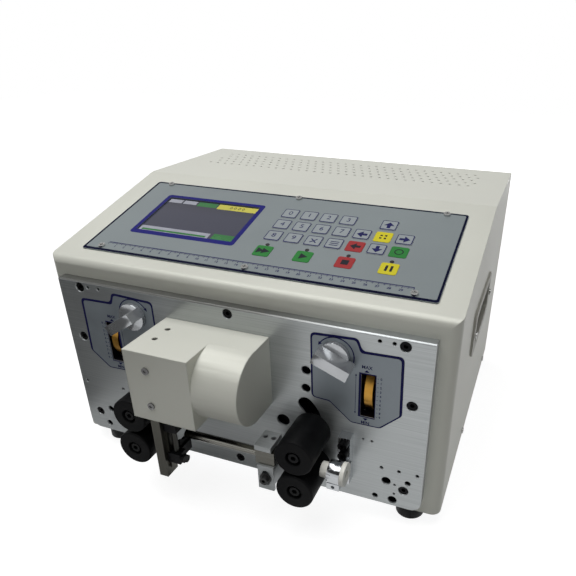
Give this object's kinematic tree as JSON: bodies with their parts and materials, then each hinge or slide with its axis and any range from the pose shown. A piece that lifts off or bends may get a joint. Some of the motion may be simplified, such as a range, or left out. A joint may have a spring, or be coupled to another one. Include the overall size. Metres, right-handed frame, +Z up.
{
  "type": "wire cutting and stripping machine",
  "caption": "Bench machine with a sloping keypad panel, paired feed rollers and a covered cutter head on a thick front plate, for cutting wire to length and stripping its ends.",
  "frame": {"origin": "middle of the bounding box, at the height of the foot soles", "axes": "+Z up; front plate, rollers and keypad face -Y; +X to the right seen from the front, where the wire enters"},
  "size_m": [0.3996, 0.4012, 0.257],
  "materials": {
    "case_paint": "fine powder coat, warm off-white",
    "handle_plastic": "moulded, satin",
    "plate_alloy": "brushed lengthways",
    "zinc_steel": "zinc plated sheet",
    "bright_chrome": "polished plating",
    "machined_steel": "turned and ground, oiled",
    "black_oxide": "black oxide, slight sheen",
    "black_rubber": "matt, finely ground",
    "overlay_film": "printed polyester film",
    "display_glass": "glossy window over a dark screen",
    "motor_paint": "black lacquer",
    "bush_plastic": "turned white plastic",
    "socket_plastic": "moulded black",
    "rocker_plastic": "moulded red",
    "board_laminate": "circuit laminate and metal box",
    "wheel_brass": "turned brass with a knurled rim",
    "key_light": "printed, satin",
    "key_green": "printed, satin",
    "key_red": "printed, satin",
    "key_yellow": "printed, satin"
  },
  "bodies": {
    "case": {"base_pan": "zinc_steel", "rubber_feet": "black_rubber", "housing_cover": "case_paint", "rear_panel": "case_paint", "case_screws": "bright_chrome", "side_handles": "handle_plastic", "front_plate": "plate_alloy", "socket_screws": "black_oxide", "keypad_overlay": "overlay_film", "display_module": "display_glass", "cutter_cover": "case_paint", "cutter_frame": "machined_steel", "stepper_motors": "motor_paint", "tube_bracket": "bright_chrome", "guide_tube": "machined_steel", "inlet_holder": "bright_chrome", "inlet_bush": "bush_plastic", "power_inlet": "socket_plastic", "power_unit": "board_laminate"},
    "left_lower": {"left_lower_roller": "black_rubber", "left_lower_shaft": "black_oxide"},
    "left_upper": {"left_upper_roller": "black_rubber", "left_upper_shaft": "black_oxide"},
    "left_arm": {"left_swing_arm": "black_oxide"},
    "left_knob": {"left_lift_knob": "bright_chrome"},
    "left_wheel": {"left_gap_wheel": "wheel_brass"},
    "right_lower": {"right_lower_roller": "black_rubber", "right_lower_shaft": "black_oxide"},
    "right_upper": {"right_upper_roller": "black_rubber", "right_upper_shaft": "black_oxide"},
    "right_arm": {"right_swing_arm": "black_oxide"},
    "right_knob": {"right_lift_knob": "bright_chrome"},
    "right_wheel": {"right_gap_wheel": "wheel_brass"},
    "upper_carrier": {"upper_blade_carrier": "black_oxide"},
    "lower_carrier": {"lower_blade_carrier": "black_oxide"},
    "screw": {"lead_screw": "machined_steel"},
    "rocker": {"power_rocker": "rocker_plastic"},
    "key_0_body": {"key_0": "key_light"},
    "key_1_body": {"key_1": "key_light"},
    "key_2_body": {"key_2": "key_light"},
    "key_3_body": {"key_3": "key_light"},
    "key_up_body": {"key_up": "key_light"},
    "key_4_body": {"key_4": "key_light"},
    "key_5_body": {"key_5": "key_light"},
    "key_6_body": {"key_6": "key_light"},
    "key_7_body": {"key_7": "key_light"},
    "key_left_body": {"key_left": "key_light"},
    "key_menu_body": {"key_menu": "key_yellow"},
    "key_right_body": {"key_right": "key_light"},
    "key_8_body": {"key_8": "key_light"},
    "key_9_body": {"key_9": "key_light"},
    "key_clear_body": {"key_clear": "key_light"},
    "key_program_body": {"key_program": "key_light"},
    "key_back_body": {"key_back": "key_red"},
    "key_down_body": {"key_down": "key_light"},
    "key_enter_body": {"key_enter": "key_green"},
    "key_resume_body": {"key_resume": "key_green"},
    "key_start_body": {"key_start": "key_green"},
    "key_stop_body": {"key_stop": "key_red"},
    "key_halt_body": {"key_halt": "key_yellow"}
  },
  "joints": [
    {"name": "left_feed_spin", "type": "hinge", "parent": "case", "child": "left_lower", "pos_m": [-0.0805, -0.1294, 0.06], "axis": [0, 1, 0], "continuous": true},
    {"name": "left_press_spin", "type": "hinge", "parent": "left_arm", "child": "left_upper", "pos_m": [-0.0805, -0.1294, 0.096], "axis": [0, 1, 0], "continuous": true},
    {"name": "left_knob_turn", "type": "hinge", "parent": "case", "child": "left_knob", "pos_m": [-0.0985, -0.1294, 0.171], "axis": [0, -1, 0], "range_deg": [0, 90]},
    {"name": "left_arm_swing", "type": "hinge", "parent": "case", "child": "left_arm", "pos_m": [-0.0488, -0.1294, 0.092], "axis": [0, 1, 0], "range_deg": [0, 8]},
    {"name": "left_gap_turn", "type": "hinge", "parent": "case", "child": "left_wheel", "pos_m": [-0.1274, -0.1134, 0.1372], "axis": [1, 0, 0], "range_deg": [-150, 150]},
    {"name": "right_feed_spin", "type": "hinge", "parent": "case", "child": "right_lower", "pos_m": [0.0805, -0.1294, 0.06], "axis": [0, 1, 0], "continuous": true},
    {"name": "right_press_spin", "type": "hinge", "parent": "right_arm", "child": "right_upper", "pos_m": [0.0805, -0.1294, 0.096], "axis": [0, 1, 0], "continuous": true},
    {"name": "right_knob_turn", "type": "hinge", "parent": "case", "child": "right_knob", "pos_m": [0.0985, -0.1294, 0.171], "axis": [0, 1, 0], "range_deg": [0, 90]},
    {"name": "right_arm_swing", "type": "hinge", "parent": "case", "child": "right_arm", "pos_m": [0.0488, -0.1294, 0.092], "axis": [0, -1, 0], "range_deg": [0, 8]},
    {"name": "right_gap_turn", "type": "hinge", "parent": "case", "child": "right_wheel", "pos_m": [0.1274, -0.1134, 0.1372], "axis": [1, 0, 0], "range_deg": [-150, 150]},
    {"name": "upper_blade_slide", "type": "slide", "parent": "case", "child": "upper_carrier", "axis": [0, 0, -1], "range_m": [0, 0.008]},
    {"name": "lower_blade_slide", "type": "slide", "parent": "case", "child": "lower_carrier", "axis": [0, 0, 1], "range_m": [0, 0.008]},
    {"name": "screw_turn", "type": "hinge", "parent": "case", "child": "screw", "pos_m": [-0.0368, -0.1847, 0.016], "axis": [0, 0, 1], "range_deg": [0, 720]},
    {"name": "power_rock", "type": "hinge", "parent": "case", "child": "rocker", "pos_m": [-0.08, 0.1926, 0.076], "axis": [1, 0, 0], "range_deg": [0, 20]},
    {"name": "key_0_press", "type": "slide", "parent": "case", "child": "key_0_body", "axis": [0, 0.2532, -0.9674], "range_m": [0, 0.0003], "stiffness_N_per_m": 3000, "springref_m": -0.0003},
    {"name": "key_1_press", "type": "slide", "parent": "case", "child": "key_1_body", "axis": [0, 0.2532, -0.9674], "range_m": [0, 0.0003], "stiffness_N_per_m": 3000, "springref_m": -0.0003},
    {"name": "key_2_press", "type": "slide", "parent": "case", "child": "key_2_body", "axis": [0, 0.2532, -0.9674], "range_m": [0, 0.0003], "stiffness_N_per_m": 3000, "springref_m": -0.0003},
    {"name": "key_3_press", "type": "slide", "parent": "case", "child": "key_3_body", "axis": [0, 0.2532, -0.9674], "range_m": [0, 0.0003], "stiffness_N_per_m": 3000, "springref_m": -0.0003},
    {"name": "key_up_press", "type": "slide", "parent": "case", "child": "key_up_body", "axis": [0, 0.2532, -0.9674], "range_m": [0, 0.0003], "stiffness_N_per_m": 3000, "springref_m": -0.0003},
    {"name": "key_4_press", "type": "slide", "parent": "case", "child": "key_4_body", "axis": [0, 0.2532, -0.9674], "range_m": [0, 0.0003], "stiffness_N_per_m": 3000, "springref_m": -0.0003},
    {"name": "key_5_press", "type": "slide", "parent": "case", "child": "key_5_body", "axis": [0, 0.2532, -0.9674], "range_m": [0, 0.0003], "stiffness_N_per_m": 3000, "springref_m": -0.0003},
    {"name": "key_6_press", "type": "slide", "parent": "case", "child": "key_6_body", "axis": [0, 0.2532, -0.9674], "range_m": [0, 0.0003], "stiffness_N_per_m": 3000, "springref_m": -0.0003},
    {"name": "key_7_press", "type": "slide", "parent": "case", "child": "key_7_body", "axis": [0, 0.2532, -0.9674], "range_m": [0, 0.0003], "stiffness_N_per_m": 3000, "springref_m": -0.0003},
    {"name": "key_left_press", "type": "slide", "parent": "case", "child": "key_left_body", "axis": [0, 0.2532, -0.9674], "range_m": [0, 0.0003], "stiffness_N_per_m": 3000, "springref_m": -0.0003},
    {"name": "key_menu_press", "type": "slide", "parent": "case", "child": "key_menu_body", "axis": [0, 0.2532, -0.9674], "range_m": [0, 0.0003], "stiffness_N_per_m": 3000, "springref_m": -0.0003},
    {"name": "key_right_press", "type": "slide", "parent": "case", "child": "key_right_body", "axis": [0, 0.2532, -0.9674], "range_m": [0, 0.0003], "stiffness_N_per_m": 3000, "springref_m": -0.0003},
    {"name": "key_8_press", "type": "slide", "parent": "case", "child": "key_8_body", "axis": [0, 0.2532, -0.9674], "range_m": [0, 0.0003], "stiffness_N_per_m": 3000, "springref_m": -0.0003},
    {"name": "key_9_press", "type": "slide", "parent": "case", "child": "key_9_body", "axis": [0, 0.2532, -0.9674], "range_m": [0, 0.0003], "stiffness_N_per_m": 3000, "springref_m": -0.0003},
    {"name": "key_clear_press", "type": "slide", "parent": "case", "child": "key_clear_body", "axis": [0, 0.2532, -0.9674], "range_m": [0, 0.0003], "stiffness_N_per_m": 3000, "springref_m": -0.0003},
    {"name": "key_program_press", "type": "slide", "parent": "case", "child": "key_program_body", "axis": [0, 0.2532, -0.9674], "range_m": [0, 0.0003], "stiffness_N_per_m": 3000, "springref_m": -0.0003},
    {"name": "key_back_press", "type": "slide", "parent": "case", "child": "key_back_body", "axis": [0, 0.2532, -0.9674], "range_m": [0, 0.0003], "stiffness_N_per_m": 3000, "springref_m": -0.0003},
    {"name": "key_down_press", "type": "slide", "parent": "case", "child": "key_down_body", "axis": [0, 0.2532, -0.9674], "range_m": [0, 0.0003], "stiffness_N_per_m": 3000, "springref_m": -0.0003},
    {"name": "key_enter_press", "type": "slide", "parent": "case", "child": "key_enter_body", "axis": [0, 0.2532, -0.9674], "range_m": [0, 0.0003], "stiffness_N_per_m": 3000, "springref_m": -0.0003},
    {"name": "key_resume_press", "type": "slide", "parent": "case", "child": "key_resume_body", "axis": [0, 0.2532, -0.9674], "range_m": [0, 0.0003], "stiffness_N_per_m": 3000, "springref_m": -0.0003},
    {"name": "key_start_press", "type": "slide", "parent": "case", "child": "key_start_body", "axis": [0, 0.2532, -0.9674], "range_m": [0, 0.0003], "stiffness_N_per_m": 3000, "springref_m": -0.0003},
    {"name": "key_stop_press", "type": "slide", "parent": "case", "child": "key_stop_body", "axis": [0, 0.2532, -0.9674], "range_m": [0, 0.0003], "stiffness_N_per_m": 3000, "springref_m": -0.0003},
    {"name": "key_halt_press", "type": "slide", "parent": "case", "child": "key_halt_body", "axis": [0, 0.2532, -0.9674], "range_m": [0, 0.0003], "stiffness_N_per_m": 3000, "springref_m": -0.0003}
  ],
  "couplings": [
    {"joint": "left_press_spin", "follows": "left_feed_spin", "ratio": -1},
    {"joint": "left_arm_swing", "follows": "left_knob_turn", "ratio": 0.088888},
    {"joint": "right_press_spin", "follows": "right_feed_spin", "ratio": -1},
    {"joint": "right_arm_swing", "follows": "right_knob_turn", "ratio": 0.088888},
    {"joint": "screw_turn", "follows": "upper_blade_slide", "rad_per_m": 1570.8},
    {"joint": "lower_blade_slide", "follows": "upper_blade_slide", "ratio": 1}
  ]
}
